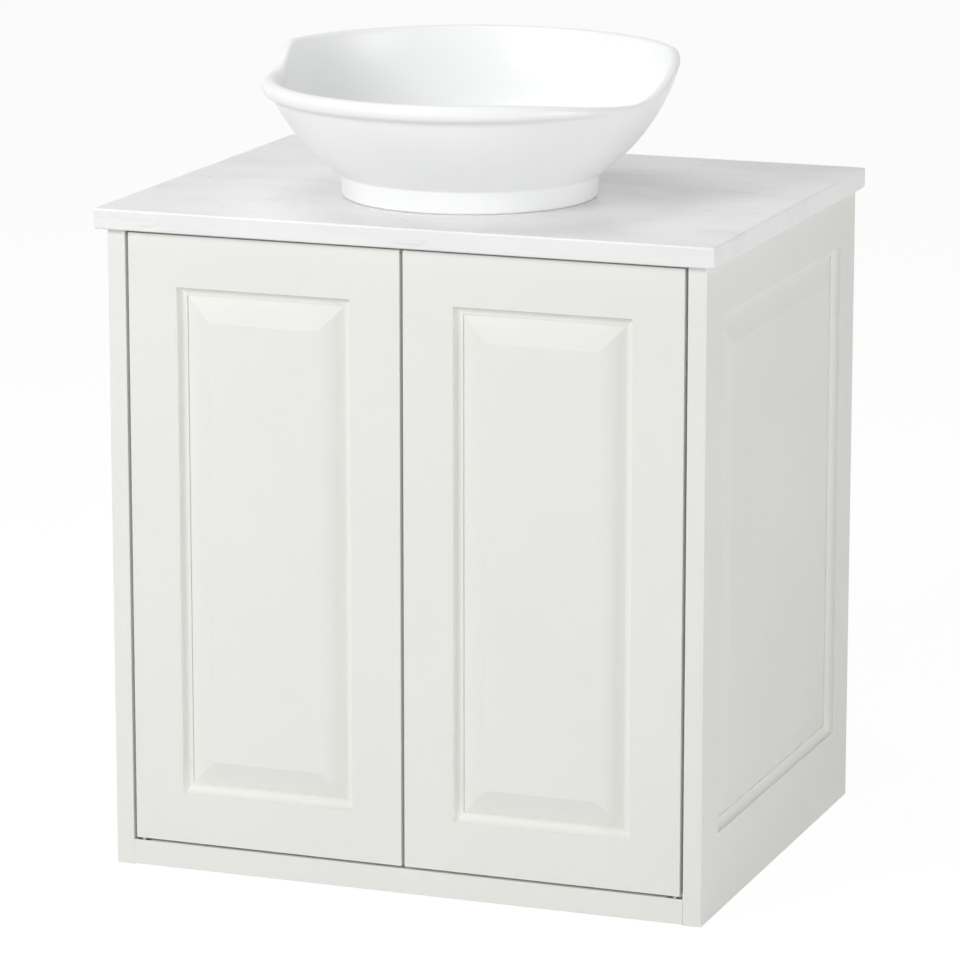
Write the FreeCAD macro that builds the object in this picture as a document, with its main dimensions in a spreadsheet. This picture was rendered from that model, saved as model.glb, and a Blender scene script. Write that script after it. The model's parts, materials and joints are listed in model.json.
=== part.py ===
import FreeCAD
import Part
import Sketcher
import math
import os

# Vanity unit: a two-door cabinet of framed raised panels under a stone top with a round basin.
# Millimetres. +Z is up, the doors face -Y, and the origin is under the middle of the outer box.

sizes = {
    # cabinet
    "cabinet_width": 600,
    "cabinet_depth": 480,
    "cabinet_height": 630,
    "frame_thickness": 18,
    "board_thickness": 18,
    "front_rail_height": 24,
    "front_rail_lift": 1,
    "front_rail_bevel": 1.2,
    "stretcher_width": 80,
    "wall_rail_height": 100,
    "low_rail_height": 80,
    "wall_hole_radius": 3.25,
    "wall_hole_spacing": 440,
    "wall_hole_drop": 40,
    # framed panels
    "door_gap": 3,
    "door_backing": 2,
    "stile_width": 50,
    "door_rail_width": 50,
    "side_low_rail": 78,
    "side_high_rail": 52.5,
    "arris": 1,
    "mitre_margin": 1,
    "quirk": 0.8,
    "sticking_width": 8,
    "sticking_depth": 7.5,
    "cove_radius": 7.4,
    "lip_thickness": 1,
    "groove_depth": 6,
    "groove_width": 6,
    "panel_room": 2,
    "panel_fit": 0.1,
    "tenon_room": 0.5,
    "bevel_foot": 0.5,
    "bevel_width": 25,
    "field_setback": 0.8,
    # door pivots
    "pivot_inset": 6,
    "pivot_radius": 2.5,
    "pivot_length": 11,
    "pivot_end_room": 1,
    "bush_radius": 4,
    "bush_length": 14,
    "bush_flange_radius": 5,
    "bush_flange": 0.7,
    "running_clearance": 0.06,
    "plate_thickness": 2,
    "plate_width": 14,
    "plate_length": 66,
    "plate_front": 3.5,
    "plate_screw_first": 34,
    "plate_screw_pitch": 22,
    # push latches
    "latch_offset": 27,
    "latch_width": 16,
    "latch_height": 14,
    "latch_length": 52,
    "plunger_radius": 4,
    "plunger_length": 44,
    "plunger_clearance": 0.3,
    "plunger_chamfer": 1,
    "barrel_room": 2,
    "strike_radius": 8,
    "strike_thickness": 1.2,
    # shelf
    "shelf_drop": 320,
    "shelf_clearance": 1,
    "shelf_front": 26,
    "shelf_rear": 22,
    "shelf_pin_radius": 2.5,
    "shelf_pin_depth": 9,
    "shelf_pin_reach": 9,
    "shelf_pin_inset": 36,
    # top
    "top_overhang": 10,
    "top_thickness": 20,
    "top_round": 2,
    "bracket_leg": 28,
    "bracket_width": 20,
    "bracket_metal": 2,
    "bracket_spacing": 300,
    # basin
    "basin_setback": 183.5,
    "foot_low_radius": 123,
    "foot_radius": 125.4,
    "foot_height": 22,
    "wall_bulge": 193.5,
    "rim_out_radius": 203.6,
    "rim_in_radius": 192,
    "rim_height": 133,
    "crown_ease": 0.15,
    "bowl_bulge": 120,
    "bowl_floor_radius": 60,
    "bowl_floor": 25,
    "waste_seat_radius": 33,
    "waste_seat": 23,
    "rim_round": 8.2,
    "nose_relief": 0.1,
    "rim_front_path": 191.7,
    "rim_front_height": 105.8,
    "step_run": 55,
    "step_shift": 30,
    "step_angle": 8.3,
    "roll_left_angle": 0,
    "roll_right_angle": 14,
    "seal_thickness": 1.5,
    "seal_width": 12,
    # waste and trap
    "waste_hole_radius": 22.5,
    "waste_tube_radius": 20.9,
    "waste_wall": 2.4,
    "waste_flange_radius": 31.5,
    "waste_flange": 2.5,
    "waste_flange_chamfer": 1,
    "waste_length": 98,
    "grid_sink": 1,
    "grid_thickness": 2.5,
    "grid_hole": 4.2,
    "grid_ring": 11,
    "washer_radius": 30,
    "washer_thickness": 3,
    "waste_nut_radius": 31,
    "waste_nut_height": 12,
    "pipe_radius": 16,
    "pipe_wall": 1.8,
    "slip_fit": 0.15,
    "inlet_nut_radius": 25.5,
    "inlet_nut_height": 24,
    "inlet_nut_grip": 14,
    "nut_chamfer": 2,
    "nut_chamfer_length": 3,
    "tail_length": 140,
    "tail_collar": 3,
    "trap_radius": 28,
    "trap_wall": 2.6,
    "trap_drop": 51.5,
    "trap_height": 77,
    "trap_neck": 14,
    "trap_outlet_rise": 37,
    "trap_outlet_radius": 20,
    "trap_outlet_reach": 48,
    "cup_radius": 32,
    "cup_height": 62,
    "cup_lap": 14,
    "cup_chamfer": 8,
    "cup_inner_chamfer": 5,
    "outlet_nut_radius": 24,
    "outlet_nut_length": 20,
    "outlet_gap": 2,
    "outlet_neck_relief": 0.25,
    "outlet_neck_clear": 3,
    # screws
    "screw_radius": 1.8,
    "screw_head": 4,
    "screw_length": 15,
    "screw_fit": 0.2,
}

os.makedirs("parts", exist_ok=True)
doc = FreeCAD.newDocument("vanity_unit")
dims = doc.addObject("Spreadsheet::Sheet", "dims")
for row, (alias, size) in enumerate(sizes.items(), 1):
    dims.set(f"A{row}", alias)
    dims.set(f"B{row}", str(size))
    dims.setAlias(f"B{row}", alias)
doc.recompute()

nodes = []

# places that several pieces share, as expressions on the sheet
half_width = "(dims.cabinet_width / 2)"
half_inner = "(dims.cabinet_width / 2 - dims.frame_thickness)"
basin_reach = "(dims.rim_front_path + dims.rim_round - dims.basin_setback)"
rear = f"((dims.cabinet_depth + {basin_reach}) / 2)"
front = f"({rear} - dims.cabinet_depth)"
door_back = f"({front} + dims.frame_thickness)"
door_width = f"(({half_inner} * 2 - 3 * dims.door_gap) / 2)"
rail_top = "(dims.front_rail_lift + dims.front_rail_height)"
door_low = f"({rail_top} + dims.door_gap)"
door_high = "(dims.cabinet_height - dims.door_gap)"
door_edge = f"({half_inner} - dims.door_gap)"
door_middle = f"({door_edge} - {door_width} / 2)"
tongue_front = "(dims.sticking_depth + dims.lip_thickness)"
tongue_back = f"({tongue_front} + dims.groove_width)"
pivot_x = f"({door_edge} - dims.pivot_inset)"
pivot_y = f"({front} + dims.pivot_inset)"
stretcher_front = f"({door_back} + dims.door_backing)"
stretcher_low = "(dims.cabinet_height - dims.board_thickness)"
top_level = "(dims.cabinet_height + dims.top_thickness)"
basin_level = f"({top_level} + dims.seal_thickness)"
basin_y = f"({front} + dims.basin_setback)"
strike_level = f"({stretcher_low} - dims.latch_height / 2)"
shelf_low = "(dims.cabinet_height - dims.shelf_drop)"


def number(expression):
    return float(dims.evalExpression(expression))


def place(piece, x, y, z, rotation=None):
    if rotation is not None:
        piece.Placement.Rotation = rotation
    for axis, expression in zip("xyz", (x, y, z)):
        piece.setExpression(f"Placement.Base.{axis}", expression)
    return piece


def bind(piece, **expressions):
    for name, expression in expressions.items():
        piece.setExpression(name, expression)
    return piece


def keep(piece, label):
    piece.Label = label
    nodes.append(piece)
    return piece


# outlines: each corner is (x, y), and a corner with a radius and a side starts an arc to the next one
def draw(sketch, corners):
    places = [FreeCAD.Vector(number(c[0]), number(c[1]), 0) for c in corners]
    ends = []
    for index, corner in enumerate(corners):
        start = places[index]
        finish = places[(index + 1) % len(places)]
        if len(corner) == 2:
            edge = sketch.addGeometry(Part.LineSegment(start, finish), False)
            ends.append((edge, 1, 2))
            continue
        radius = number(corner[2])
        turn = 1 if corner[3] == "left" else -1
        chord = finish - start
        normal = FreeCAD.Vector(-chord.y, chord.x, 0).normalize()
        rise = math.sqrt(max(radius ** 2 - (chord.Length / 2) ** 2, 0))
        centre = (start + finish) * 0.5 + normal * rise * turn
        first, last = (start, finish) if turn > 0 else (finish, start)
        angles = [math.atan2(p.y - centre.y, p.x - centre.x) for p in (first, last)]
        circle = Part.Circle(centre, FreeCAD.Vector(0, 0, 1), radius)
        edge = sketch.addGeometry(Part.ArcOfCircle(circle, *angles), False)
        ends.append((edge, 1, 2) if turn > 0 else (edge, 2, 1))
    for index, (edge, _, finish) in enumerate(ends):
        following, start, _ = ends[(index + 1) % len(ends)]
        sketch.addConstraint(Sketcher.Constraint("Coincident", edge, finish, following, start))
    for corner, spot, (edge, start, _) in zip(corners, places, ends):
        for kind, expression, value in zip(("DistanceX", "DistanceY"), corner, spot):
            constraint = sketch.addConstraint(Sketcher.Constraint(kind, -1, 1, edge, start, value))
            sketch.setExpression(f"Constraints[{constraint}]", expression)
        if len(corner) > 2:
            constraint = sketch.addConstraint(Sketcher.Constraint("Radius", edge, number(corner[2])))
            sketch.setExpression(f"Constraints[{constraint}]", corner[2])


def new_body(name):
    return doc.addObject("PartDesign::Body", name)


def sketch_on(body, role, corners):
    sketch = body.newObject("Sketcher::SketchObject", "Outline")
    plane = next(feature for feature in body.Origin.OriginFeatures if feature.Role == role)
    sketch.AttachmentSupport = (plane, [""])
    sketch.MapMode = "FlatFace"
    draw(sketch, corners)
    return sketch


def pad(body, sketch, length, symmetric=False):
    feature = body.newObject("PartDesign::Pad", "Pad")
    feature.Profile = sketch
    feature.setExpression("Length", length)
    feature.SideType = "Symmetric" if symmetric else "One side"
    return feature


def cut_through(body, sketch):
    feature = body.newObject("PartDesign::Pocket", "Cut")
    feature.Profile = sketch
    feature.Type = "ThroughAll"
    feature.SideType = "Symmetric"
    return feature


def turned(name, corners):
    body = new_body(name)
    sketch = sketch_on(body, "XZ_Plane", corners)
    feature = body.newObject("PartDesign::Revolution", "Turning")
    feature.Profile = sketch
    feature.ReferenceAxis = (sketch, ["V_Axis"])
    feature.Angle = 360
    return body


def box(name, x, y, z, length, width, height):
    piece = doc.addObject("Part::Box", name)
    bind(piece, Length=length, Width=width, Height=height)
    return place(piece, x, y, z)


def rod(name, radius, length, x, y, z, rotation=None):
    piece = doc.addObject("Part::Cylinder", name)
    bind(piece, Radius=radius, Height=length)
    return place(piece, x, y, z, rotation)


def cone(name, low_radius, high_radius, height, x, y, z, rotation=None):
    piece = doc.addObject("Part::Cone", name)
    bind(piece, Radius1=low_radius, Radius2=high_radius, Height=height)
    return place(piece, x, y, z, rotation)


def fused(name, pieces):
    piece = doc.addObject("Part::MultiFuse", name)
    piece.Shapes = pieces
    piece.Refine = True
    return piece


def cut_from(name, base, tools):
    piece = doc.addObject("Part::Cut", name)
    piece.Base = base
    piece.Tool = tools[0] if len(tools) == 1 else fused(f"{name}_tools", tools)
    return piece


def group(label, pieces):
    piece = doc.addObject("Part::Compound", label)
    piece.Links = pieces
    return keep(piece, label)


def axes(first, second):
    return FreeCAD.Rotation(first, second, first.cross(second), "XYZ")


right = FreeCAD.Vector(1, 0, 0)
back = FreeCAD.Vector(0, 1, 0)
up = FreeCAD.Vector(0, 0, 1)
along_y = axes(right, up * -1)
along_minus_y = axes(right, up)
along_x = axes(up * -1, back)
along_minus_x = axes(up, back)
upside_down = axes(right, back * -1)


# a moulded bar of a frame: x runs in from its outer edge, y in from its face, z along it
def moulded_bar(name, flat, length, low_setback, high_setback, tenons):
    lip = f"({flat} + dims.sticking_width)"
    groove = f"({flat} - dims.groove_depth)"
    face_edge = [("0", "0")]
    back_edge = [("0", "dims.frame_thickness")]
    if not tenons:
        # the long outer edges of a stile are eased
        face_edge = [("0", "dims.arris", "dims.arris", "left"), ("dims.arris", "0")]
        back_edge = [
            ("dims.arris", "dims.frame_thickness", "dims.arris", "left"),
            ("0", "dims.frame_thickness - dims.arris"),
        ]
    body = new_body(name)
    section = sketch_on(body, "XY_Plane", [
        *face_edge,
        (flat, "0"),
        (flat, "dims.quirk", "dims.cove_radius", "right"),
        (lip, "dims.sticking_depth"),
        (lip, tongue_front),
        (groove, tongue_front),
        (groove, tongue_back),
        (lip, tongue_back),
        (lip, "dims.frame_thickness"),
        *back_edge,
    ])
    pad(body, section, length, symmetric=True)
    # the moulding is mitred where the next bar's moulding meets it
    beyond = "(dims.sticking_width + dims.mitre_margin)"
    for sign, setback in (("-", low_setback), ("+", high_setback)):
        inward = "+" if sign == "-" else "-"
        end = f"({sign}{length} / 2)"
        cut_through(body, sketch_on(body, "XZ_Plane", [
            (flat, f"{end} {sign} dims.mitre_margin"),
            (flat, f"{end} {inward} {setback}"),
            (f"{flat} + {beyond}", f"{end} {inward} ({setback} + {beyond})"),
            (f"{flat} + {beyond}", f"{end} {sign} dims.mitre_margin"),
        ]))
    if tenons:
        tenon = sketch_on(body, "XY_Plane", [
            ("0", f"{tongue_front} + dims.panel_fit"),
            (groove, f"{tongue_front} + dims.panel_fit"),
            (groove, f"{tongue_back} - dims.panel_fit"),
            ("0", f"{tongue_back} - dims.panel_fit"),
        ])
        pad(body, tenon, f"{length} + 2 * (dims.groove_depth - dims.tenon_room)", symmetric=True)
    return body


def stile(name, inward, depth, height, low_rail, high_rail, x, y, z):
    if inward.cross(depth).z < 0:
        low_rail, high_rail = high_rail, low_rail
    body = moulded_bar(name, "dims.stile_width", height, low_rail, high_rail, tenons=False)
    return place(body, x, y, z, axes(inward, depth))


def rail(name, inward, depth, flat, span, x, y, z):
    body = moulded_bar(name, flat, f"({span} - 2 * dims.stile_width)", "0", "0", tenons=True)
    return place(body, x, y, z, axes(inward, depth))


# a raised panel: a tongue all round, and a field that stands out on broad bevels
def raised_panel(name, width, height, x, y, z, rotation=None):
    tongue = "(dims.groove_depth - dims.panel_room)"
    foot = "(dims.sticking_width + dims.bevel_foot)"
    crest = f"({foot} + dims.bevel_width)"
    slab_front = f"({tongue_front} + dims.panel_fit)"
    slab = box(
        f"{name}_slab",
        f"-{width} / 2 - {tongue}", slab_front, f"-{height} / 2 - {tongue}",
        f"{width} + 2 * {tongue}", "dims.groove_width - 2 * dims.panel_fit", f"{height} + 2 * {tongue}",
    )
    field = doc.addObject("Part::Wedge", f"{name}_field")
    bind(
        field,
        Ymin="dims.field_setback", Ymax=slab_front,
        Xmin=f"-{width} / 2 + {crest}", Xmax=f"{width} / 2 - {crest}",
        Zmin=f"-{height} / 2 + {crest}", Zmax=f"{height} / 2 - {crest}",
        X2min=f"-{width} / 2 + {foot}", X2max=f"{width} / 2 - {foot}",
        Z2min=f"-{height} / 2 + {foot}", Z2max=f"{height} / 2 - {foot}",
    )
    return place(fused(name, [slab, field]), x, y, z, rotation)


def screw(name, x, y, z, rotation=None):
    body = turned(name, [
        ("0", "-dims.screw_length"),
        ("dims.screw_radius", "-dims.screw_length + 2 * dims.screw_radius"),
        ("dims.screw_radius", "-dims.plate_thickness"),
        ("dims.screw_head", "0"),
        ("0", "0"),
    ])
    return place(body, x, y, z, rotation)


def screw_hole(name, x, y, z, rotation=None):
    return cone(
        name, "dims.screw_radius + dims.screw_fit", "dims.screw_head + dims.screw_fit",
        "dims.plate_thickness", x, y, z, rotation,
    )


# doors
door_height = f"({door_high} - {door_low})"
door_mid_height = f"(({door_high} + {door_low}) / 2)"
opening_width = f"({door_width} - 2 * dims.stile_width)"
opening_height = f"({door_height} - 2 * dims.door_rail_width)"
for side, sign in (("left", "-"), ("right", "")):
    out = right * (-1 if side == "left" else 1)
    middle = f"{sign}{door_middle}"
    rail_width = "dims.door_rail_width"
    hinge_stile = stile(
        f"{side}_hinge_stile_bar", out * -1, back, door_height, rail_width, rail_width,
        f"{sign}{door_edge}", front, door_mid_height,
    )
    bush_radius = "dims.bush_radius"
    bores = [
        rod(f"{side}_low_bore", bush_radius, "dims.bush_length", f"{sign}{pivot_x}", pivot_y, door_low),
        rod(
            f"{side}_high_bore", bush_radius, "dims.bush_length", f"{sign}{pivot_x}", pivot_y,
            f"{door_high} - dims.bush_length",
        ),
    ]
    keep(cut_from(f"{side}_hinge_stile_bored", hinge_stile, bores), f"{side}_door_hinge_stile")
    keep(stile(
        f"{side}_meeting_stile", out, back, door_height, rail_width, rail_width,
        f"{sign}(dims.door_gap / 2)", front, door_mid_height,
    ), f"{side}_door_meeting_stile")
    keep(rail(
        f"{side}_low_rail", up, back, rail_width, door_width, middle, front, door_low,
    ), f"{side}_door_bottom_rail")
    keep(rail(
        f"{side}_high_rail", up * -1, back, rail_width, door_width, middle, front, door_high,
    ), f"{side}_door_top_rail")
    keep(raised_panel(
        f"{side}_door_field", opening_width, opening_height, middle, front, door_mid_height,
    ), f"{side}_door_panel")

    # flanged bushes in the ends of the hinge stile
    bushes = []
    for end, level, rotation in (("low", door_low, None), ("high", door_high, upside_down)):
        bore_radius = "dims.pivot_radius + dims.running_clearance"
        bush = turned(f"{side}_{end}_bush", [
            (bore_radius, "-dims.bush_flange"),
            ("dims.bush_flange_radius", "-dims.bush_flange"),
            ("dims.bush_flange_radius", "0"),
            ("dims.bush_radius", "0"),
            ("dims.bush_radius", "dims.bush_length"),
            ("0", "dims.bush_length"),
            ("0", "dims.pivot_length"),
            (bore_radius, "dims.pivot_length"),
        ])
        bushes.append(place(bush, f"{sign}{pivot_x}", pivot_y, level, rotation))
    group(f"{side}_door_bushes", bushes)

    keep(rod(
        f"{side}_strike", "dims.strike_radius", "dims.strike_thickness",
        f"{sign}dims.latch_offset", door_back, strike_level, along_y,
    ), f"{side}_strike_plate")

# side frames
side_opening_height = "(dims.cabinet_height - dims.side_low_rail - dims.side_high_rail)"
side_opening_depth = "(dims.cabinet_depth - 2 * dims.stile_width)"
side_middle = f"(({front} + {rear}) / 2)"
pin_level = f"({shelf_low} - dims.shelf_pin_radius)"
pin_places = {
    "front": f"({front} + dims.shelf_pin_inset)",
    "rear": f"({rear} - dims.shelf_pin_inset)",
}
for side, sign in (("left", "-"), ("right", "")):
    inward = right * (1 if side == "left" else -1)
    face = f"{sign}{half_width}"
    frame_inner = f"{sign}{half_inner}"
    for end, edge, direction in (("front", front, back), ("rear", rear, back * -1)):
        bar = stile(
            f"{side}_{end}_bar", direction, inward, "dims.cabinet_height",
            "dims.side_low_rail", "dims.side_high_rail", face, edge, "dims.cabinet_height / 2",
        )
        pin_bore = rod(
            f"{side}_{end}_pin_bore", "dims.shelf_pin_radius", "dims.shelf_pin_depth",
            frame_inner, pin_places[end], pin_level, along_minus_x if side == "left" else along_x,
        )
        keep(cut_from(f"{side}_{end}_bored", bar, [pin_bore]), f"{side}_side_{end}_stile")
    keep(rail(
        f"{side}_side_low", up, inward, "dims.side_low_rail", "dims.cabinet_depth", face, side_middle, "0",
    ), f"{side}_side_bottom_rail")
    keep(rail(
        f"{side}_side_high", up * -1, inward, "dims.side_high_rail", "dims.cabinet_depth",
        face, side_middle, "dims.cabinet_height",
    ), f"{side}_side_top_rail")
    keep(raised_panel(
        f"{side}_side_field", side_opening_depth, side_opening_height, face, side_middle,
        "dims.side_low_rail + " + side_opening_height + " / 2", axes(inward.cross(up), inward),
    ), f"{side}_side_panel")

# boards between the sides
inner_width = f"(2 * {half_inner})"
front_rail = new_body("front_rail")
front_rail_section = sketch_on(front_rail, "YZ_Plane", [
    (front, "dims.front_rail_lift"),
    (door_back, "dims.front_rail_lift"),
    (door_back, rail_top),
    (f"{front} + dims.front_rail_bevel", rail_top),
    (front, f"{rail_top} - dims.front_rail_bevel"),
])
pad(front_rail, front_rail_section, inner_width, symmetric=True)
floor_board = box(
    "floor_board", f"-{half_inner}", door_back, f"{rail_top} - dims.board_thickness",
    inner_width, f"{rear} - {door_back}", "dims.board_thickness",
)

# the pivot plates are let into the boards
plate_start = f"({pivot_y} - dims.plate_front)"
plate_rear = f"({plate_start} + dims.plate_length)"
lower_plate_low = f"({rail_top} - dims.plate_thickness)"
upper_plate_low = "(dims.cabinet_height - dims.plate_thickness)"


def housings(name, start, finish, low):
    return [
        box(
            f"{name}_{side}_housing", f"{sign}{pivot_x} - dims.plate_width / 2", start, low,
            "dims.plate_width", f"{finish} - {start}", "dims.plate_thickness",
        )
        for side, sign in (("left", "-"), ("right", ""))
    ]


keep(cut_from(
    "housed_front_rail", front_rail, housings("rail", plate_start, door_back, lower_plate_low),
), "front_bottom_rail")
keep(cut_from(
    "housed_floor", floor_board, housings("floor", door_back, plate_rear, lower_plate_low),
), "bottom_panel")

stretcher = box(
    "stretcher", f"-{half_inner}", stretcher_front, stretcher_low,
    inner_width, "dims.stretcher_width", "dims.board_thickness",
)
keep(cut_from(
    "housed_stretcher", stretcher, housings("stretcher", stretcher_front, plate_rear, upper_plate_low),
), "top_front_stretcher")

wall_rail = box(
    "wall_board", f"-{half_inner}", f"{rear} - dims.board_thickness",
    "dims.cabinet_height - dims.wall_rail_height",
    inner_width, "dims.board_thickness", "dims.wall_rail_height",
)
wall_holes = [
    rod(
        f"wall_hole_{index}", "dims.wall_hole_radius", "dims.board_thickness",
        f"{sign}dims.wall_hole_spacing / 2", f"{rear} - dims.board_thickness",
        "dims.cabinet_height - dims.wall_hole_drop", along_y,
    )
    for index, sign in enumerate("-+")
]
keep(cut_from("drilled_wall_rail", wall_rail, wall_holes), "upper_wall_rail")
keep(box(
    "low_board", f"-{half_inner}", f"{rear} - dims.board_thickness", rail_top,
    inner_width, "dims.board_thickness", "dims.low_rail_height",
), "lower_wall_rail")

shelf_front = f"({front} + dims.shelf_front)"
keep(box(
    "shelf_board", f"-{half_inner} + dims.shelf_clearance", shelf_front, shelf_low,
    f"{inner_width} - 2 * dims.shelf_clearance", f"{rear} - dims.shelf_rear - {shelf_front}",
    "dims.board_thickness",
), "shelf")
shelf_pins = []
for side, sign in (("left", "-"), ("right", "")):
    for end in ("front", "rear"):
        pin = turned(f"{side}_{end}_pin", [
            ("0", "-dims.shelf_pin_depth"),
            ("dims.shelf_pin_radius", "-dims.shelf_pin_depth"),
            ("dims.shelf_pin_radius", "dims.shelf_pin_reach"),
            ("0", "dims.shelf_pin_reach"),
        ])
        aim = along_minus_x if side == "right" else along_x
        shelf_pins.append(place(pin, f"{sign}{half_inner}", pin_places[end], pin_level, aim))
group("shelf_pins", shelf_pins)

# door pivots: a screwed plate with a pin, below and above each hinge stile
pivot_screws = []
for side, sign in (("left", "-"), ("right", "")):
    for end, low, root, rotation, reach in (
        ("lower", lower_plate_low, lower_plate_low, None, "(dims.plate_thickness + dims.door_gap)"),
        ("upper", upper_plate_low, "dims.cabinet_height", upside_down, "dims.door_gap"),
    ):
        x = f"{sign}{pivot_x}"
        plate = box(
            f"{side}_{end}_plate", f"{x} - dims.plate_width / 2", plate_start, low,
            "dims.plate_width", "dims.plate_length", "dims.plate_thickness",
        )
        holes = []
        for step in range(2):
            y = f"({plate_start} + dims.plate_screw_first + {step} * dims.plate_screw_pitch)"
            holes.append(screw_hole(f"{side}_{end}_hole_{step}", x, y, low))
            pivot_screws.append(screw(f"{side}_{end}_screw_{step}", x, y, f"{low} + dims.plate_thickness"))
        pin_length = f"({reach} + dims.pivot_length - dims.pivot_end_room)"
        pin = turned(f"{side}_{end}_pivot_pin", [
            ("0", "0"),
            ("dims.pivot_radius", "0"),
            ("dims.pivot_radius", pin_length),
            ("0", pin_length),
        ])
        place(pin, x, pivot_y, root, rotation)
        drilled = cut_from(f"{side}_{end}_drilled", plate, holes)
        keep(fused(f"{side}_{end}_pivot_plate", [drilled, pin]), f"{side}_{end}_pivot")
group("pivot_screws", pivot_screws)

# push latches under the stretcher, with plungers that meet the strike plates
latch_front = f"({stretcher_front} + dims.door_backing)"
latch_low = f"({stretcher_low} - dims.latch_height)"
plunger_tip = f"({door_back} + dims.strike_thickness + dims.plunger_clearance)"
for side, sign in (("left", "-"), ("right", "")):
    x = f"{sign}dims.latch_offset"
    case = box(
        f"{side}_latch_block", f"{x} - dims.latch_width / 2", latch_front, latch_low,
        "dims.latch_width", "dims.latch_length", "dims.latch_height",
    )
    barrel = rod(
        f"{side}_latch_barrel", "dims.plunger_radius + dims.running_clearance",
        f"{plunger_tip} + dims.plunger_length - {latch_front} + dims.barrel_room",
        x, latch_front, strike_level, along_y,
    )
    keep(cut_from(f"{side}_latch_bored", case, [barrel]), f"{side}_latch_case")
    plunger = turned(f"{side}_latch_plunger", [
        ("0", "0"),
        ("dims.plunger_radius - dims.plunger_chamfer", "0"),
        ("dims.plunger_radius", "dims.plunger_chamfer"),
        ("dims.plunger_radius", "dims.plunger_length"),
        ("0", "dims.plunger_length"),
    ])
    keep(place(plunger, x, plunger_tip, strike_level, along_y), f"{side}_plunger")

# stone top with a hole for the waste
top = new_body("stone_top")
top_half = f"({half_width} + dims.top_overhang)"
top_front = f"({front} - dims.top_overhang)"
top_slab = pad(top, sketch_on(top, "XY_Plane", [
    (f"-{top_half}", top_front),
    (top_half, top_front),
    (top_half, rear),
    (f"-{top_half}", rear),
]), "dims.top_thickness")
doc.recompute()
easing = top.newObject("PartDesign::Fillet", "Eased")
easing.Base = (top_slab, [f"Edge{index}" for index in range(1, len(top_slab.Shape.Edges) + 1)])
easing.setExpression("Radius", "dims.top_round")
place(top, "0", "0", "dims.cabinet_height")
waste_bore = rod(
    "top_waste_bore", "dims.waste_hole_radius", "dims.top_thickness", "0", basin_y, "dims.cabinet_height",
)
keep(cut_from("bored_top", top, [waste_bore]), "countertop")

brackets = []
bracket_screws = []
rail_face = f"({rear} - dims.board_thickness)"
for index, sign in enumerate("-+"):
    x = f"({sign}dims.bracket_spacing / 2)"
    angle = new_body(f"bracket_{index}")
    pad(angle, sketch_on(angle, "YZ_Plane", [
        (rail_face, "dims.cabinet_height"),
        (f"{rail_face} - dims.bracket_leg", "dims.cabinet_height"),
        (f"{rail_face} - dims.bracket_leg", "dims.cabinet_height - dims.bracket_metal"),
        (f"{rail_face} - dims.bracket_metal", "dims.cabinet_height - dims.bracket_metal"),
        (f"{rail_face} - dims.bracket_metal", "dims.cabinet_height - dims.bracket_leg"),
        (rail_face, "dims.cabinet_height - dims.bracket_leg"),
    ]), "dims.bracket_width", symmetric=True)
    place(angle, x, "0", "0")
    leg_middle = "(dims.bracket_metal + (dims.bracket_leg - dims.bracket_metal) / 2)"
    up_y = f"{rail_face} - {leg_middle}"
    up_z = "dims.cabinet_height - dims.bracket_metal"
    back_y = f"{rail_face} - dims.bracket_metal"
    back_z = f"dims.cabinet_height - {leg_middle}"
    brackets.append(cut_from(f"bracket_{index}_drilled", angle, [
        screw_hole(f"bracket_{index}_up", x, up_y, f"{up_z} + dims.plate_thickness", upside_down),
        screw_hole(f"bracket_{index}_back", x, rail_face, back_z, along_minus_y),
    ]))
    bracket_screws.append(screw(f"bracket_{index}_up_screw", x, up_y, up_z, upside_down))
    bracket_screws.append(screw(f"bracket_{index}_back_screw", x, back_y, back_z, along_minus_y))
group("top_brackets", brackets)
group("bracket_screws", bracket_screws)

# basin: a turned bowl whose wall steps down to a lower lip in front
crown_radius = "((dims.rim_out_radius - dims.rim_in_radius) / 2 + dims.crown_ease)"
bowl = turned("bowl", [
    ("dims.waste_hole_radius", "0"),
    ("dims.foot_low_radius", "0"),
    ("dims.foot_radius", "dims.foot_height", "dims.wall_bulge", "left"),
    ("dims.rim_out_radius", "dims.rim_height", crown_radius, "left"),
    ("dims.rim_in_radius", "dims.rim_height", "dims.bowl_bulge", "right"),
    ("dims.bowl_floor_radius", "dims.bowl_floor"),
    ("dims.waste_seat_radius", "dims.waste_seat"),
    ("dims.waste_hole_radius", "dims.waste_seat"),
])
rim_top = f"(dims.rim_height + {crown_radius})"
step_rise = f"({rim_top} - dims.rim_front_height)"
step_radius = f"((dims.step_run ^ 2 + {step_rise} ^ 2) / (4 * {step_rise}))"
clear = "(2 * dims.rim_out_radius)"
step_cut = new_body("step_cut")
pad(step_cut, sketch_on(step_cut, "YZ_Plane", [
    (f"-{clear}", "dims.rim_front_height"),
    ("-dims.step_run / 2", "dims.rim_front_height", step_radius, "left"),
    ("0", f"(dims.rim_front_height + {rim_top}) / 2", step_radius, "right"),
    ("dims.step_run / 2", rim_top),
    ("dims.step_run / 2", f"{rim_top} + dims.rim_round"),
    (f"-{clear}", f"{rim_top} + dims.rim_round"),
]), f"2 * {clear}", symmetric=True)
step_cut.Placement.Rotation = FreeCAD.Rotation(up, number("dims.step_angle"))
step_cut.setExpression("Placement.Rotation.Angle", "dims.step_angle")
place(step_cut, "0", "dims.step_shift", "0")
stepped = cut_from("stepped_bowl", bowl, [step_cut])

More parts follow.
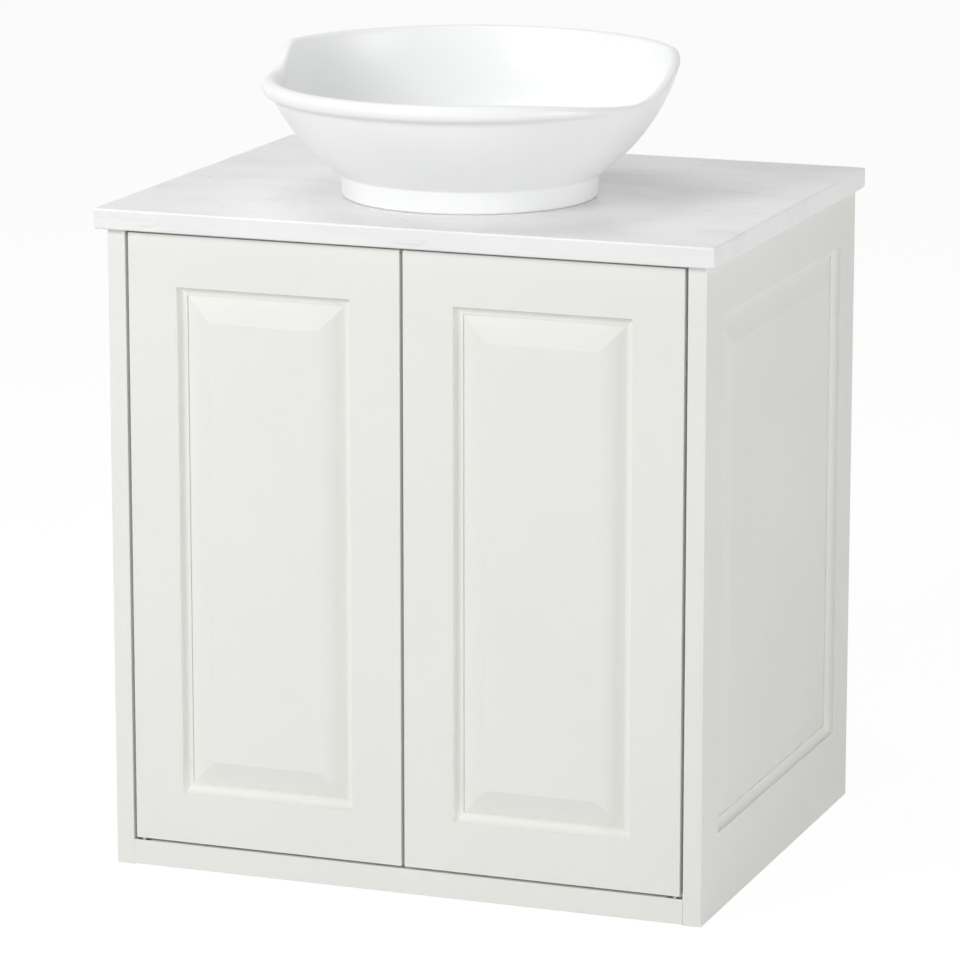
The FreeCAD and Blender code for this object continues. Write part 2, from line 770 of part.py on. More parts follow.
# the low front edge is rolled: a ring section that ends in round noses under the step
roll_start = "(180 - dims.roll_left_angle)"
roll_sweep = "(180 + dims.roll_left_angle + dims.roll_right_angle)"
roll = doc.addObject("Part::Torus", "roll")
bind(roll, Radius1="dims.rim_front_path", Radius2="dims.rim_round", Angle3=roll_sweep)
roll.Placement.Rotation = FreeCAD.Rotation(up, number(roll_start))
roll.setExpression("Placement.Rotation.Angle", roll_start)
place(roll, "0", "0", "dims.rim_front_height")
noses = []
for name, angle in (("left", roll_start), ("right", "dims.roll_right_angle")):
    nose = doc.addObject("Part::Sphere", f"{name}_nose")
    bind(nose, Radius="dims.rim_round - dims.nose_relief")
    noses.append(place(
        nose, f"dims.rim_front_path * cos({angle} * 1 deg)", f"dims.rim_front_path * sin({angle} * 1 deg)",
        "dims.rim_front_height",
    ))
basin = fused("basin_body", [stepped, fused("rolled_lip", [roll] + noses)])
place(basin, "0", basin_y, basin_level)
keep(basin, "basin")

seal = turned("seal_ring", [
    ("dims.foot_low_radius - dims.seal_width", "0"),
    ("dims.foot_low_radius", "0"),
    ("dims.foot_low_radius", "dims.seal_thickness"),
    ("dims.foot_low_radius - dims.seal_width", "dims.seal_thickness"),
])
keep(place(seal, "0", basin_y, top_level), "basin_seal")

# waste: a strainer flange with its threaded tube, washer and nut
seat_level = f"({basin_level} + dims.waste_seat)"
tube_end = f"({seat_level} - dims.waste_length)"
tube_inner = "(dims.waste_tube_radius - dims.waste_wall)"
grid_high = "(dims.waste_flange - dims.grid_sink)"
grid_low = f"({grid_high} - dims.grid_thickness)"
strainer_blank = turned("strainer_blank", [
    (tube_inner, "-dims.waste_length"),
    ("dims.waste_tube_radius", "-dims.waste_length"),
    ("dims.waste_tube_radius", "0"),
    ("dims.waste_flange_radius", "0"),
    ("dims.waste_flange_radius - dims.waste_flange_chamfer", "dims.waste_flange"),
    ("dims.waste_tube_radius", "dims.waste_flange"),
    (tube_inner, grid_high),
    ("0", grid_high),
    ("0", grid_low),
    (tube_inner, grid_low),
])
place(strainer_blank, "0", basin_y, seat_level)
grid_middle = ("0", basin_y)
hole_count = 6
grid_spots = [grid_middle]
for index in range(hole_count):
    angle = f"({index} * 360 deg / {hole_count})"
    grid_spots.append((
        f"dims.grid_ring * cos({angle})",
        f"{basin_y} + dims.grid_ring * sin({angle})",
    ))
grid_holes = [
    rod(f"grid_hole_{index}", "dims.grid_hole", "dims.grid_thickness", x, y, f"{seat_level} + {grid_low}")
    for index, (x, y) in enumerate(grid_spots)
]
keep(cut_from("strainer", strainer_blank, grid_holes), "waste_strainer")

tube_hole = "(dims.waste_tube_radius + dims.slip_fit)"
washer_low = "(dims.cabinet_height - dims.washer_thickness)"
washer = turned("washer", [
    (tube_hole, "0"),
    ("dims.washer_radius", "0"),
    ("dims.washer_radius", "dims.washer_thickness"),
    (tube_hole, "dims.washer_thickness"),
])
keep(place(washer, "0", basin_y, washer_low), "waste_washer")
nut_blank = doc.addObject("Part::Prism", "waste_nut_blank")
nut_blank.Polygon = 8
bind(nut_blank, Circumradius="dims.waste_nut_radius", Height="dims.waste_nut_height")
place(nut_blank, "0", basin_y, f"{washer_low} - dims.waste_nut_height")
nut_bore = rod(
    "waste_nut_bore", tube_hole, "dims.waste_nut_height", "0", basin_y,
    f"{washer_low} - dims.waste_nut_height",
)
keep(cut_from("waste_nut_bored", nut_blank, [nut_bore]), "waste_nut")

# bottle trap: tail pipe, coupling nut, body with a side outlet, cup, outlet pipe and its nut
pipe_bore = "(dims.pipe_radius - dims.pipe_wall)"
pipe_hole = "(dims.pipe_radius + dims.slip_fit)"
tail = turned("tail", [
    (pipe_bore, "-dims.tail_length"),
    ("dims.pipe_radius", "-dims.tail_length"),
    ("dims.pipe_radius", "-dims.tail_collar"),
    ("dims.waste_tube_radius", "-dims.tail_collar"),
    ("dims.waste_tube_radius", "0"),
    (pipe_bore, "0"),
])
keep(place(tail, "0", basin_y, tube_end), "trap_tail_pipe")
nut_floor = "(dims.inlet_nut_grip - dims.inlet_nut_height)"
coupling = turned("coupling", [
    (pipe_hole, nut_floor),
    ("dims.inlet_nut_radius - dims.nut_chamfer", nut_floor),
    ("dims.inlet_nut_radius", f"{nut_floor} + dims.nut_chamfer_length"),
    ("dims.inlet_nut_radius", "dims.inlet_nut_grip"),
    (tube_hole, "dims.inlet_nut_grip"),
    (tube_hole, "-dims.tail_collar"),
    (pipe_hole, "-dims.tail_collar"),
])
keep(place(coupling, "0", basin_y, tube_end), "trap_inlet_nut")

trap_inner = "(dims.trap_radius - dims.trap_wall)"
trap_top = f"({tube_end} - dims.trap_drop)"
trap_shoulder = f"({trap_top} - dims.trap_neck)"
trap_bottom = f"({trap_top} - dims.trap_height)"
outlet_level = f"({trap_bottom} + dims.trap_outlet_rise)"
bottle = turned("bottle", [
    (pipe_hole, trap_top),
    (pipe_hole, f"{trap_shoulder} - dims.trap_wall"),
    (trap_inner, f"{trap_shoulder} - dims.trap_wall"),
    (trap_inner, trap_bottom),
    ("dims.trap_radius", trap_bottom),
    ("dims.trap_radius", trap_shoulder),
    (f"{pipe_hole} + dims.trap_wall", trap_shoulder),
    (f"{pipe_hole} + dims.trap_wall", trap_top),
])
place(bottle, "0", basin_y, "0")
spout = rod(
    "spout", "dims.trap_outlet_radius", "dims.trap_outlet_reach", "0", basin_y, outlet_level, along_y,
)
spout_bore = rod(
    "spout_bore", pipe_hole, "dims.trap_outlet_reach", "0", basin_y, outlet_level, along_y,
)
bottle_room = rod(
    "bottle_room", trap_inner, f"{trap_shoulder} - dims.trap_wall - {trap_bottom}",
    "0", basin_y, trap_bottom,
)
spouted = fused("spouted_bottle", [bottle, spout])
keep(cut_from("open_bottle", spouted, [spout_bore, bottle_room]), "trap_body")

cup_hole = "(dims.trap_radius + dims.slip_fit)"
cup_floor = "(dims.cup_lap - dims.cup_height)"
cup = turned("cup", [
    ("0", cup_floor),
    ("dims.cup_radius - dims.cup_chamfer", cup_floor),
    ("dims.cup_radius", f"{cup_floor} + dims.cup_chamfer"),
    ("dims.cup_radius", "dims.cup_lap"),
    (cup_hole, "dims.cup_lap"),
    (cup_hole, "0"),
    (trap_inner, "0"),
    (trap_inner, f"{cup_floor} + dims.cup_chamfer"),
    (f"{trap_inner} - dims.cup_inner_chamfer", f"{cup_floor} + dims.trap_wall"),
    ("0", f"{cup_floor} + dims.trap_wall"),
])
keep(place(cup, "0", basin_y, trap_bottom), "trap_cup")

# the outlet pipe is necked where it enters the spout, and its free end runs straight to the wall
spout_end = f"({basin_y} + dims.trap_outlet_reach)"
outlet_start = f"({basin_y} + dims.trap_radius + dims.outlet_gap)"
outlet_length = f"({rear} - {outlet_start})"
neck_end = f"({spout_end} + dims.outlet_nut_length / 2 + dims.outlet_neck_clear - {outlet_start})"
neck_radius = "(dims.pipe_radius - dims.outlet_neck_relief)"
outlet = turned("outlet", [
    (pipe_bore, "0"),
    (neck_radius, "0"),
    (neck_radius, neck_end),
    ("dims.pipe_radius", neck_end),
    ("dims.pipe_radius", outlet_length),
    (pipe_bore, outlet_length),
])
keep(place(outlet, "0", outlet_start, outlet_level, along_y), "trap_outlet_pipe")
spout_hole = "(dims.trap_outlet_radius + dims.slip_fit)"
outlet_nut = turned("outlet_nut", [
    (spout_hole, "-dims.outlet_nut_length / 2"),
    ("dims.outlet_nut_radius", "-dims.outlet_nut_length / 2"),
    ("dims.outlet_nut_radius", "dims.outlet_nut_length / 2 - dims.nut_chamfer_length"),
    ("dims.outlet_nut_radius - dims.nut_chamfer", "dims.outlet_nut_length / 2"),
    (pipe_hole, "dims.outlet_nut_length / 2"),
    (pipe_hole, "0"),
    (spout_hole, "0"),
])
keep(place(outlet_nut, "0", spout_end, outlet_level, along_y), "trap_outlet_nut")

doc.recompute()
failed = [piece.Name for piece in doc.Objects if {"Invalid", "Error"} & set(piece.State)]
unsound = [piece.Label for piece in nodes if piece.Shape.isNull() or not piece.Shape.isValid()]
if failed or unsound:
    raise RuntimeError(f"failed {failed}, unsound {unsound}")
for piece in nodes:
    piece.Shape.exportStep(f"parts/{piece.Label}.step")
print(len(nodes), "pieces written")
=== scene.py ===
import bpy
import bmesh
import json
import math
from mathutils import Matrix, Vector


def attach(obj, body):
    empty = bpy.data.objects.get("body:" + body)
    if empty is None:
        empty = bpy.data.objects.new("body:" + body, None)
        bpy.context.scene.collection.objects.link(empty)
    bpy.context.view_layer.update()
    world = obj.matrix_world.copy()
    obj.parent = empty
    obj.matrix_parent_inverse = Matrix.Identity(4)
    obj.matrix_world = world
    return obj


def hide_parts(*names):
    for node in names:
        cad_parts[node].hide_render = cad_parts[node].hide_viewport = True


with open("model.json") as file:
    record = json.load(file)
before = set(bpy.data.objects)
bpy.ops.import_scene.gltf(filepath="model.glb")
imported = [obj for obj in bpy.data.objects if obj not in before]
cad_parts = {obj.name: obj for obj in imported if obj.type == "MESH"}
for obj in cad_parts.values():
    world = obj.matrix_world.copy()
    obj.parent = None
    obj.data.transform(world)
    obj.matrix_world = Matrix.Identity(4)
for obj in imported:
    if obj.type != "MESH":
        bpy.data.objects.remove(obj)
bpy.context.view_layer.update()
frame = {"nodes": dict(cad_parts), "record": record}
nodes = frame["nodes"]
scene = bpy.context.scene
scene.view_settings.view_transform = "Standard"
print("frame loaded,", len(nodes), "nodes")

white = (1, 1, 1, 1)
# a mix node's sockets share their names, so they are found by place
mixSockets = {
    "FLOAT": {"first": 2, "second": 3, "result": 0},
    "RGBA": {"first": 6, "second": 7, "result": 2},
}


# shader nodes: a linked socket or a plain value for each input
def addNode(tree, kind, inputs=None, **settings):
    node = tree.nodes.new(kind)
    for name, value in settings.items():
        setattr(node, name, value)
    for name, value in (inputs or {}).items():
        socket = node.inputs[name]
        if isinstance(value, bpy.types.NodeSocket):
            tree.links.new(value, socket)
        else:
            socket.default_value = value
    return node


def calculate(tree, operation, *values):
    node = addNode(tree, "ShaderNodeMath", dict(enumerate(values)), operation=operation)
    return node.outputs["Value"]


def blend(tree, kind, share, first, second):
    places = mixSockets[kind]
    node = addNode(tree, "ShaderNodeMix", {
        "Factor": share, places["first"]: first, places["second"]: second,
    }, data_type=kind)
    return node.outputs[places["result"]]


def newGroup(name, inputs, outputs):
    tree = bpy.data.node_groups.new(name, "ShaderNodeTree")
    for side, sockets in (("INPUT", inputs), ("OUTPUT", outputs)):
        for label, kind in sockets.items():
            tree.interface.new_socket(label, in_out=side, socket_type=kind)
    return tree, tree.nodes.new("NodeGroupInput"), tree.nodes.new("NodeGroupOutput")


# slow drift between two shades of one finish
driftLook = {"detail": 4.0, "roughness": 0.55, "window": (0.3, 0.7)}


def makeToneDrift(look):
    tree, start, end = newGroup(
        "toneDrift",
        {
            "Light": "NodeSocketColor", "Dark": "NodeSocketColor",
            "Scale": "NodeSocketFloat", "Stretch": "NodeSocketVector",
        },
        {"Color": "NodeSocketColor", "Value": "NodeSocketFloat"},
    )
    place = addNode(tree, "ShaderNodeTexCoord")
    spread = addNode(tree, "ShaderNodeMapping", {
        "Vector": place.outputs["Object"], "Scale": start.outputs["Stretch"],
    })
    cloud = addNode(tree, "ShaderNodeTexNoise", {
        "Vector": spread.outputs["Vector"], "Scale": start.outputs["Scale"],
        "Detail": look["detail"], "Roughness": look["roughness"],
    })
    low, high = look["window"]
    level = addNode(tree, "ShaderNodeMapRange", {
        "Value": cloud.outputs["Fac"], "From Min": low, "From Max": high,
    }).outputs["Result"]
    shade = blend(tree, "RGBA", level, start.outputs["Dark"], start.outputs["Light"])
    tree.links.new(shade, end.inputs["Color"])
    tree.links.new(level, end.inputs["Value"])
    return tree


# fine relief of a sprayed, moulded or rolled surface: small dimples over a slow wave
skinLook = {"dimpleDetail": 2.0, "waveDetail": 1.0}


def makeSkinRelief(look):
    tree, start, end = newGroup(
        "skinRelief",
        {"Dimples": "NodeSocketFloat", "Waves": "NodeSocketFloat", "Wave Share": "NodeSocketFloat"},
        {"Height": "NodeSocketFloat"},
    )
    place = addNode(tree, "ShaderNodeTexCoord")
    small, large = (
        addNode(tree, "ShaderNodeTexNoise", {
            "Vector": place.outputs["Object"], "Scale": start.outputs[label], "Detail": detail,
        }).outputs["Fac"]
        for label, detail in (("Dimples", look["dimpleDetail"]), ("Waves", look["waveDetail"]))
    )
    height = blend(tree, "FLOAT", start.outputs["Wave Share"], small, large)
    tree.links.new(height, end.inputs["Height"])
    return tree


toneDrift = makeToneDrift(driftLook)
skinRelief = makeSkinRelief(skinLook)


def rgba(color):
    return (*color, 1)


def newMaterial(name):
    material = bpy.data.materials.new(name)
    material.use_nodes = True
    tree = material.node_tree
    return material, tree, tree.nodes["Principled BSDF"]


# gloss that follows a mask, and fine relief
def surfaceFeel(tree, surface, mask, look):
    low, high = look["roughness"]
    gloss = addNode(tree, "ShaderNodeMapRange", {"Value": mask, "To Min": low, "To Max": high})
    skin = addNode(tree, "ShaderNodeGroup", {
        "Dimples": look["dimples"], "Waves": look["waves"], "Wave Share": look["waveShare"],
    }, node_tree=skinRelief)
    relief = addNode(tree, "ShaderNodeBump", {
        "Height": skin.outputs["Height"], "Strength": look["relief"], "Distance": look["reliefDepth"],
    })
    tree.links.new(gloss.outputs["Result"], surface.inputs["Roughness"])
    tree.links.new(relief.outputs["Normal"], surface.inputs["Normal"])


# a finish of drifting tone, drifting gloss and fine relief
def plainFinish(name, look):
    material, tree, surface = newMaterial(name)
    tone = addNode(tree, "ShaderNodeGroup", {
        "Light": rgba(look["light"]), "Dark": rgba(look["dark"]),
        "Scale": look["driftScale"], "Stretch": look.get("stretch", (1, 1, 1)),
    }, node_tree=toneDrift)
    tree.links.new(tone.outputs["Color"], surface.inputs["Base Color"])
    surfaceFeel(tree, surface, tone.outputs["Value"], look)
    for socket, value in look.get("sockets", {}).items():
        surface.inputs[socket].default_value = value
    return material


finishes = {
    "painted_wood": {
        "light": (0.842, 0.850, 0.812), "dark": (0.826, 0.834, 0.796), "driftScale": 7.0,
        "roughness": (0.6, 0.52), "dimples": 620.0, "waves": 55.0, "waveShare": 0.35,
        "relief": 0.06, "reliefDepth": 0.0008, "sockets": {"Specular IOR Level": 0.35},
    },
    "board": {
        "light": (0.80, 0.80, 0.775), "dark": (0.765, 0.765, 0.74), "driftScale": 30.0,
        "stretch": (0.15, 1, 1), "roughness": (0.5, 0.42), "dimples": 480.0, "waves": 120.0,
        "waveShare": 0.5, "relief": 0.12, "reliefDepth": 0.0008,
    },
    "glazed_white": {
        "light": (0.95, 0.955, 0.955), "dark": (0.935, 0.941, 0.943), "driftScale": 9.0,
        "roughness": (0.4, 0.32), "dimples": 90.0, "waves": 16.0, "waveShare": 0.7,
        "relief": 0.05, "reliefDepth": 0.0015,
    },
    "zinc_steel": {
        "light": (0.66, 0.67, 0.69), "dark": (0.52, 0.53, 0.55), "driftScale": 160.0,
        "roughness": (0.42, 0.28), "dimples": 1500.0, "waves": 260.0, "waveShare": 0.4,
        "relief": 0.1, "reliefDepth": 0.0003, "sockets": {"Metallic": 1.0},
    },
    "chrome": {
        "light": (0.82, 0.83, 0.84), "dark": (0.76, 0.77, 0.78), "driftScale": 50.0,
        "roughness": (0.12, 0.07), "dimples": 900.0, "waves": 60.0, "waveShare": 0.6,
        "relief": 0.03, "reliefDepth": 0.0003, "sockets": {"Metallic": 1.0},
    },
    "white_plastic": {
        "light": (0.84, 0.84, 0.83), "dark": (0.80, 0.80, 0.785), "driftScale": 25.0,
        "roughness": (0.38, 0.28), "dimples": 1100.0, "waves": 90.0, "waveShare": 0.4,
        "relief": 0.08, "reliefDepth": 0.0004,
    },
    "grey_nylon": {
        "light": (0.42, 0.43, 0.44), "dark": (0.36, 0.37, 0.38), "driftScale": 60.0,
        "roughness": (0.58, 0.48), "dimples": 1400.0, "waves": 200.0, "waveShare": 0.3,
        "relief": 0.12, "reliefDepth": 0.0004,
    },
    "rubber": {
        "light": (0.045, 0.045, 0.045), "dark": (0.03, 0.03, 0.03), "driftScale": 80.0,
        "roughness": (0.78, 0.68), "dimples": 1300.0, "waves": 150.0, "waveShare": 0.3,
        "relief": 0.15, "reliefDepth": 0.0004,
    },
    "sealant": {
        "light": (0.80, 0.80, 0.79), "dark": (0.74, 0.74, 0.73), "driftScale": 45.0,
        "roughness": (0.4, 0.3), "dimples": 300.0, "waves": 70.0, "waveShare": 0.7,
        "relief": 0.15, "reliefDepth": 0.0006,
    },
}

# pale honed stone: cloudy ground, broken streaks that run across the top, a few short dark flecks
stoneLook = {
    "ground": (0.885, 0.885, 0.88),
    "turn": math.radians(7),
    "cloud": {
        "color": (0.835, 0.84, 0.84), "stretch": (1, 2.6, 2.6), "scale": 9.0, "detail": 5.0,
        "bend": 0.5, "window": (0.4, 0.72), "share": 0.7,
    },
    "streak": {
        "color": (0.62, 0.625, 0.625), "stretch": (1, 6.5, 6.5), "scale": 12.0, "detail": 6.0,
        "bend": 1.0, "middle": 0.5, "window": (0.04, 0.0),
    },
    "breaks": {
        "stretch": (1, 2.0, 2.0), "scale": 16.0, "detail": 3.0,
        "bend": 0.0, "window": (0.52, 0.7), "share": 0.42,
    },
    "fleck": {
        "color": (0.26, 0.26, 0.25), "stretch": (1, 3.4, 3.4), "scale": 42.0,
        "chance": (0.935, 0.985), "share": 0.75, "window": (0.2, 0.04),
    },
    "roughness": (0.3, 0.4), "dimples": 380.0, "waves": 30.0, "waveShare": 0.5,
    "relief": 0.05, "reliefDepth": 0.0008,
}


def stoneFinish(look):
    material, tree, surface = newMaterial("stone_top")
    place = addNode(tree, "ShaderNodeTexCoord")

    def laid(layer):
        spread = addNode(tree, "ShaderNodeMapping", {
            "Vector": place.outputs["Object"],
            "Rotation": (0, 0, look["turn"]), "Scale": layer["stretch"],
        })
        return spread.outputs["Vector"]

    def field(layer):
        noise = addNode(tree, "ShaderNodeTexNoise", {
            "Vector": laid(layer), "Scale": layer["scale"],
            "Detail": layer["detail"], "Distortion": layer["bend"],
        })
        return noise.outputs["Fac"]

    def window(value, span, top=1.0):
        ramp = addNode(tree, "ShaderNodeMapRange", {
            "Value": value, "From Min": span[0], "From Max": span[1], "To Max": top,
        }, interpolation_type="SMOOTHSTEP")
        return ramp.outputs["Result"]

    def tint(base, layer, share):
        return blend(tree, "RGBA", share, base, rgba(layer["color"]))

    cloud, streak, breaks, fleck = (look[name] for name in ("cloud", "streak", "breaks", "fleck"))
    clouds = window(field(cloud), cloud["window"], cloud["share"])
    color = tint(rgba(look["ground"]), cloud, clouds)
    # a streak is where a stretched noise passes its middle value, broken up by another noise
    crossing = calculate(tree, "SUBTRACT", field(streak), streak["middle"])
    lines = window(calculate(tree, "ABSOLUTE", crossing), streak["window"])
    broken = window(field(breaks), breaks["window"], breaks["share"])
    color = tint(color, streak, calculate(tree, "MULTIPLY", lines, broken))
    # flecks: a few cells of a stretched cell pattern
    cells = addNode(tree, "ShaderNodeTexVoronoi", {"Vector": laid(fleck), "Scale": fleck["scale"]})
    chance = addNode(tree, "ShaderNodeSeparateColor", {"Color": cells.outputs["Color"]})
    chosen = window(chance.outputs["Red"], fleck["chance"], fleck["share"])
    dot = window(cells.outputs["Distance"], fleck["window"])
    color = tint(color, fleck, calculate(tree, "MULTIPLY", chosen, dot))
    tree.links.new(color, surface.inputs["Base Color"])
    surfaceFeel(tree, surface, clouds, look)
    return material


materials = {slot: plainFinish(slot, look) for slot, look in finishes.items()}
materials["stone_top"] = stoneFinish(stoneLook)
for part in frame["record"]["subparts"]:
    mesh = nodes[part["node"]].data
    mesh.materials.clear()
    mesh.materials.append(materials[part["material_slot"]])


def addPiece(name, bm, material):
    mesh = bpy.data.meshes.new(name)
    bm.to_mesh(mesh)
    bm.free()
    mesh.materials.append(material)
    piece = bpy.data.objects.new(name, mesh)
    scene.collection.objects.link(piece)
    return piece


# basin: one turned section whose rim drops from a plain crown behind to a rolled lip in front
# section points are (radius, level) in mm, the centre is in metres, angles are degrees round from +X
basinLook = {
    "centre": (0.0, -0.0483, 0.6515),
    "steps": 288,
    "weld": 1e-6,
    "hole": (22.5, 23.0),
    "foot": [(121.0, 0.0), (122.6, 1.2), (123.2, 3.0), (124.6, 20.6)],
    "throat": (125.2, 22.0),
    "outerBulge": 193.5,
    "rear": {"out": (203.6, 133.0), "in": (192.0, 133.0), "crown": 5.95},
    "bead": {"path": 191.7, "level": 105.8, "round": 8.2},
    "crease": {"reach": 4, "passes": 4, "share": 0.5},
    "lipEase": 1.02,
    "innerBulge": 120.0,
    "floor": [(60.0, 25.0), (33.0, 23.0)],
    "fine": {"outer": 120, "inner": 160, "crown": 60, "lip": 90},
    "counts": {"outer": 44, "rim": 30, "inner": 40},
    "leftStep": (171.0, 189.0),
    "rightStep": (345.0, 392.0),
    "beadFade": (296.0, 352.0),
}


def arcAbout(centre, radius, first, sweep, count):
    angles = [first + sweep * k / count for k in range(count + 1)]
    return [centre + radius * Vector((math.cos(angle), math.sin(angle))) for angle in angles]


def arcThrough(start, end, radius, left, count):
    a, b = Vector(start), Vector(end)
    chord = b - a
    normal = Vector((-chord.y, chord.x)).normalized()
    rise = math.sqrt(max(radius ** 2 - (chord.length / 2) ** 2, 0.0))
    centre = (a + b) / 2 + normal * rise * (1 if left else -1)
    first = math.atan2(*(a - centre).yx)
    sweep = math.atan2(*(b - centre).yx) - first
    sweep = (sweep % (2 * math.pi)) if left else -((-sweep) % (2 * math.pi))
    return arcAbout(centre, radius, first, sweep, count)


def evenly(points, count):
    lengths = [0.0]
    for a, b in zip(points, points[1:]):
        lengths.append(lengths[-1] + (b - a).length)
    spread = []
    index = 0
    for k in range(count + 1):
        goal = lengths[-1] * k / count
        while index < len(points) - 2 and lengths[index + 1] < goal:
            index += 1
        span = lengths[index + 1] - lengths[index]
        share = (goal - lengths[index]) / span if span else 0.0
        spread.append(points[index].lerp(points[index + 1], share))
    return spread


def softStep(value, low, high):
    t = min(max((value - low) / (high - low), 0.0), 1.0)
    return t * t * (3 - 2 * t)


# sections of the rim behind, of the rolled lip, and of the plain lip it fades into
def basinSections(look):
    counts, fine, rear = look["counts"], look["fine"], look["rear"]
    outer = arcThrough(look["throat"], rear["out"], look["outerBulge"], True, fine["outer"])
    inner = arcThrough(rear["in"], look["floor"][0], look["innerBulge"], False, fine["inner"])
    bead = Vector((look["bead"]["path"], look["bead"]["level"]))
    size = look["bead"]["round"]
    below = [p for p in outer if p.y < bead.y and (p - bead).length > size]
    beyond = [p for p in inner if p.y < bead.y and (p - bead).length > size]
    hole, seat = look["hole"]
    head = [Vector((hole, 0.0))] + [Vector(p) for p in look["foot"]]
    tail = [Vector(p) for p in look["floor"][1:]] + [Vector((hole, seat))]

    def section(wall, rim, bowl):
        return (
            head + evenly(wall, counts["outer"]) + evenly(rim, counts["rim"])[1:]
            + evenly(bowl, counts["inner"])[1:] + tail
        )

    crown = arcThrough(rear["out"], rear["in"], rear["crown"], True, fine["crown"])
    first = math.atan2(*(below[-1] - bead).yx)
    sweep = (math.atan2(*(beyond[0] - bead).yx) - first) % (2 * math.pi)
    roll = arcAbout(bead, size, first, sweep, fine["lip"])
    halfGap = (below[-1] - beyond[0]).length / 2
    lip = arcThrough(below[-1], beyond[0], halfGap * look["lipEase"], True, fine["lip"])
    rolled = section(below, roll, beyond)
    # the crease under the bead is filled a little
    crease = look["crease"]
    middle = len(head) + counts["outer"]
    for _ in range(crease["passes"]):
        for k in range(middle - crease["reach"], middle + crease["reach"] + 1):
            rolled[k] = rolled[k].lerp((rolled[k - 1] + rolled[k + 1]) / 2, crease["share"])
    return section(outer, crown, inner), rolled, section(below, lip, beyond)


def makeBasin(look):
    behind, rolled, plainLip = basinSections(look)
    milli, digits = 0.001, 6
    bm = bmesh.new()
    ring = [bm.verts.new((p.x * milli, 0, p.y * milli)) for p in behind]
    edges = [bm.edges.new((a, b)) for a, b in zip(ring, ring[1:] + ring[:1])]
    bmesh.ops.spin(
        bm, geom=ring + edges, cent=(0, 0, 0), axis=(0, 0, 1), angle=2 * math.pi,
        steps=look["steps"], use_merge=True,
    )
    bmesh.ops.remove_doubles(bm, verts=bm.verts, dist=look["weld"])
    order = {(round(p.x * milli, digits), round(p.y * milli, digits)): k for k, p in enumerate(behind)}
    for vert in bm.verts:
        radius = math.hypot(vert.co.x, vert.co.y)
        key = (round(radius, digits), round(vert.co.z, digits))
        if key not in order:
            key = min(order, key=lambda near: (near[0] - radius) ** 2 + (near[1] - vert.co.z) ** 2)
        k = order[key]
        # counted on past a full turn, so that both steps and the fade lie in one run
        turn = math.degrees(math.atan2(vert.co.y, vert.co.x)) % 360
        if turn < 90:
            turn += 360
        drop = softStep(turn, *look["leftStep"]) * (1 - softStep(turn, *look["rightStep"]))
        front = rolled[k].lerp(plainLip[k], softStep(turn, *look["beadFade"]))
        spot = behind[k].lerp(front, drop)
        scale = spot.x * milli / radius
        vert.co = (vert.co.x * scale, vert.co.y * scale, spot.y * milli)
    bmesh.ops.translate(bm, verts=bm.verts, vec=look["centre"])
    bmesh.ops.recalc_face_normals(bm, faces=bm.faces)
    for face in bm.faces:
        face.smooth = True
    return addPiece("basinGlaze", bm, materials["glazed_white"])


basin = makeBasin(basinLook)
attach(basin, "cabinet")
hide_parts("basin")
print("basin turned:", len(basin.data.polygons), "faces")


# 1 for rays that reach the camera straight, by a mirror or through glass
def seenStraight(tree):
    path = addNode(tree, "ShaderNodeLightPath")
    seen = calculate(tree, "MAXIMUM", path.outputs["Is Camera Ray"], path.outputs["Is Glossy Ray"])
    return calculate(tree, "MAXIMUM", seen, path.outputs["Is Transmission Ray"])


def mixShaders(tree, share, first, second, output):
    mix = addNode(tree, "ShaderNodeMixShader", {"Fac": share, 1: first, 2: second})
    tree.links.new(mix.outputs["Shader"], tree.nodes[output].inputs["Surface"])


# stage: pale floor that stays white to the camera and keeps a soft shadow
stageLook = {
    "size": 40.0, "color": (0.68, 0.68, 0.68), "roughness": 0.9, "specular": 0.0,
    "cameraShare": 0.82, "glow": 1.13,
}


def makeFloor(look):
    material, tree, surface = newMaterial("paleFloor")
    surface.inputs["Base Color"].default_value = rgba(look["color"])
    surface.inputs["Roughness"].default_value = look["roughness"]
    surface.inputs["Specular IOR Level"].default_value = look["specular"]
    glow = addNode(tree, "ShaderNodeEmission", {"Color": white, "Strength": look["glow"]})
    share = calculate(tree, "MULTIPLY", seenStraight(tree), look["cameraShare"])
    mixShaders(tree, share, surface.outputs["BSDF"], glow.outputs["Emission"], "Material Output")
    bm = bmesh.new()
    bmesh.ops.create_grid(bm, x_segments=1, y_segments=1, size=look["size"] / 2)
    floor = addPiece("floorSweep", bm, material)


makeFloor(stageLook)

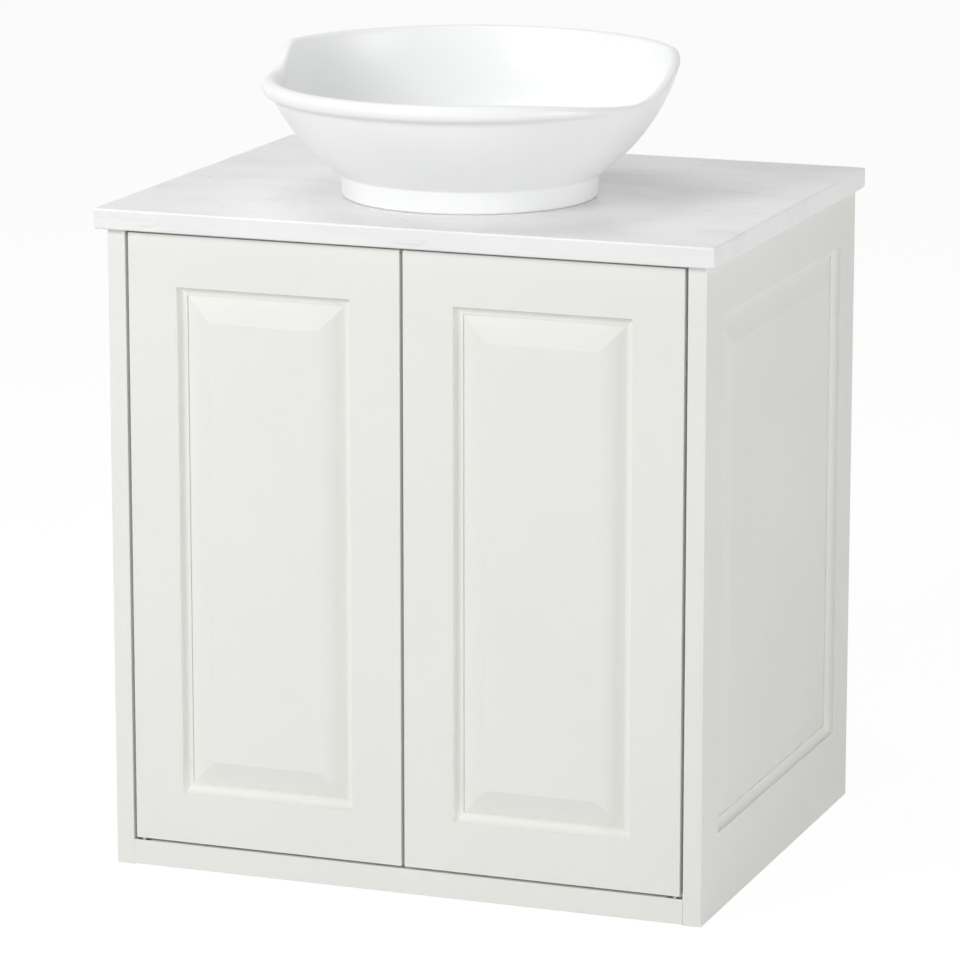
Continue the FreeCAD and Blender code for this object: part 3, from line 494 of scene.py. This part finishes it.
# light: dim room that shows white, soft key from the front left, overhead lamp, side fill, low fill
worldLook = {"strength": 0.25, "shown": 1.0}
lamps = {
    "frontKey": {"at": (-1.6, -3.4, 2.2), "aim": (0, 0, 0.45), "size": 1.6, "power": 84},
    "overhead": {"at": (-0.8, 0.1, 3.2), "aim": (0, 0, 0.65), "size": 1.8, "power": 21},
    "sideFill": {"at": (3.6, -0.7, 1.0), "aim": (0, 0, 0.45), "size": 2.0, "power": 50},
    "lowFill": {"at": (0.5, -4.2, 0.8), "aim": (0, 0, 0.45), "size": 1.6, "power": 14},
}


def makeWorld(look):
    world = bpy.data.worlds.new("studioRoom")
    scene.world = world
    world.use_nodes = True
    tree = world.node_tree
    room = tree.nodes["Background"]
    room.inputs["Color"].default_value = white
    room.inputs["Strength"].default_value = look["strength"]
    shown = addNode(tree, "ShaderNodeBackground", {"Color": white, "Strength": look["shown"]})
    mixShaders(
        tree, seenStraight(tree),
        room.outputs["Background"], shown.outputs["Background"], "World Output",
    )


def makeLamp(name, look):
    data = bpy.data.lights.new(name, "AREA")
    data.shape = "DISK"
    data.size = look["size"]
    data.energy = look["power"]
    lamp = bpy.data.objects.new(name, data)
    scene.collection.objects.link(lamp)
    lamp.location = look["at"]
    way = Vector(look["aim"]) - Vector(look["at"])
    lamp.rotation_euler = way.to_track_quat("-Z", "Y").to_euler()


makeWorld(worldLook)
for name, look in lamps.items():
    makeLamp(name, look)

# camera at the photograph's angle
cameraLook = {
    "at": (1.68886, -4.53626, 1.45110), "yaw": 20.506, "pitch": 12.721,
    "lens": 188.72, "sensor": 36.0, "reach": 100.0,
}
eye = bpy.data.objects.new("photoEye", bpy.data.cameras.new("photoEye"))
scene.collection.objects.link(eye)
eye.location = cameraLook["at"]
eye.rotation_euler = (math.radians(90 - cameraLook["pitch"]), 0, math.radians(cameraLook["yaw"]))
eye.data.sensor_width = cameraLook["sensor"]
eye.data.lens = cameraLook["lens"]
eye.data.clip_end = cameraLook["reach"]
scene.camera = eye
print("stage, light and camera set")
